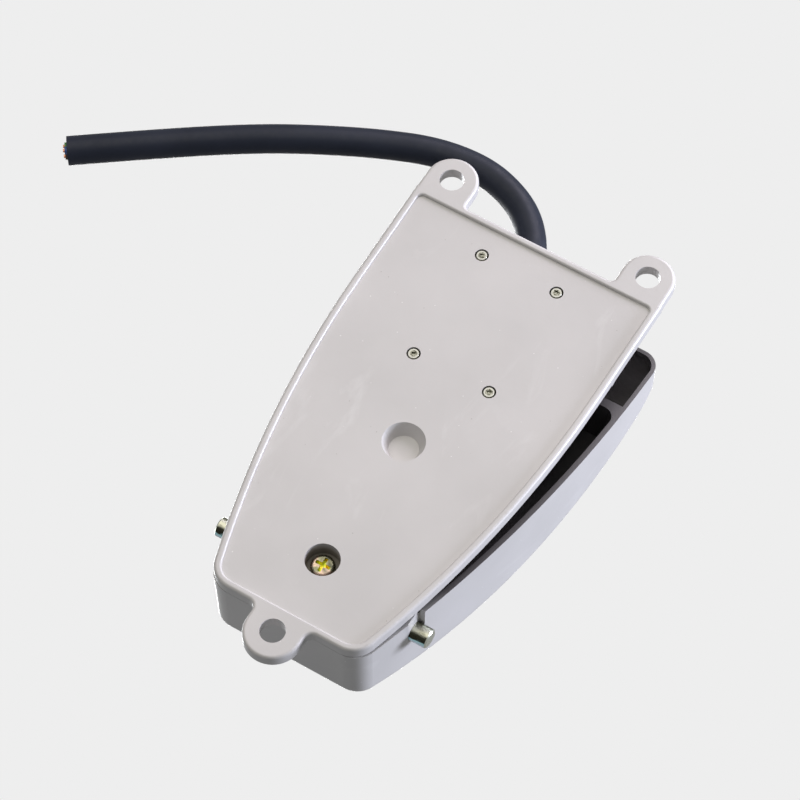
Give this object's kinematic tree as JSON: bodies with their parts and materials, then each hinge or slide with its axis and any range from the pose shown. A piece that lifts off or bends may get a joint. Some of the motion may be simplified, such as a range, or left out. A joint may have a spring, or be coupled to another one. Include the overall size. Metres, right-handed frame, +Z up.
{
  "type": "foot switch",
  "caption": "Cast-metal foot switch with an arched treadle pedal hinged at the heel, an eared base plate and a free mains cord.",
  "frame": {"origin": "middle of the underside, midway between the outer edges of the heel ear and the toe ears", "axes": "+Z up from the floor, +Y from the hinge at the heel to the toe where the cord leaves, +X to the side that the free cord bends to"},
  "size_m": [0.1898, 0.1805, 0.0421],
  "materials": {
    "casting_paint": "glossy light warm-grey enamel over a die casting, with fine specks",
    "axle_steel": "ground steel rod with dull ends",
    "yellow_zinc": "yellow zinc plating, slightly iridescent",
    "clear_zinc": "bright zinc-plated steel",
    "spring_steel": "oiled round spring wire",
    "box_moulding": "black phenolic moulding",
    "plunger_moulding": "ivory moulded plunger",
    "soft_rubber": "black rubber",
    "contact_brass": "stamped brass, as rolled",
    "cord_jacket": "black-blue cord jacket with a soft sheen",
    "copper_strand": "bare stranded copper",
    "core_brown": "brown core insulation",
    "core_blue": "blue core insulation",
    "core_green": "green core insulation"
  },
  "bodies": {
    "base": {"axle_lock_screw": "yellow_zinc", "base_casting": "casting_paint", "box_screw_1": "clear_zinc", "box_screw_2": "clear_zinc", "box_screw_3": "clear_zinc", "box_screw_4": "clear_zinc", "contact_spring": "spring_steel", "copper_end_1": "copper_strand", "copper_end_2": "copper_strand", "copper_end_3": "copper_strand", "cord": "cord_jacket", "cord_grommet": "soft_rubber", "core_1": "core_brown", "core_2": "core_blue", "core_3": "core_green", "core_end_1": "core_brown", "core_end_2": "core_blue", "core_end_3": "core_green", "cover_gasket": "soft_rubber", "cover_screw_1": "clear_zinc", "cover_screw_2": "clear_zinc", "cover_screw_3": "clear_zinc", "cover_screw_4": "clear_zinc", "earth_screw": "clear_zinc", "earth_tag": "contact_brass", "fixed_contact_left": "contact_brass", "fixed_contact_right": "contact_brass", "hinge_axle": "axle_steel", "plunger_seal": "soft_rubber", "return_spring": "spring_steel", "switch_box": "box_moulding", "switch_cover": "box_moulding", "terminal_screw_left": "clear_zinc", "terminal_screw_right": "clear_zinc"},
    "pedal": {"pedal_casting": "casting_paint", "actuator_screw": "clear_zinc", "lock_nut": "clear_zinc"},
    "plunger": {"plunger": "plunger_moulding", "bridge_contact": "contact_brass"}
  },
  "joints": [
    {"name": "pedal_hinge", "type": "hinge", "parent": "base", "child": "pedal", "pos_m": [0, -0.0506, 0.015], "axis": [-1, 0, 0], "range_deg": [0, 4.5], "stiffness_Nm_per_rad": 4.9, "springref_deg": -12.89, "deforming": ["return_spring"]},
    {"name": "plunger_slide", "type": "slide", "parent": "base", "child": "plunger", "axis": [0, 0, -1], "range_m": [0, 0.0067], "stiffness_N_per_m": 500, "springref_m": -0.006, "deforming": ["contact_spring"]}
  ],
  "couplings": [
    {"joint": "plunger_slide", "follows": "pedal_hinge", "m_per_rad": 0.0846}
  ]
}
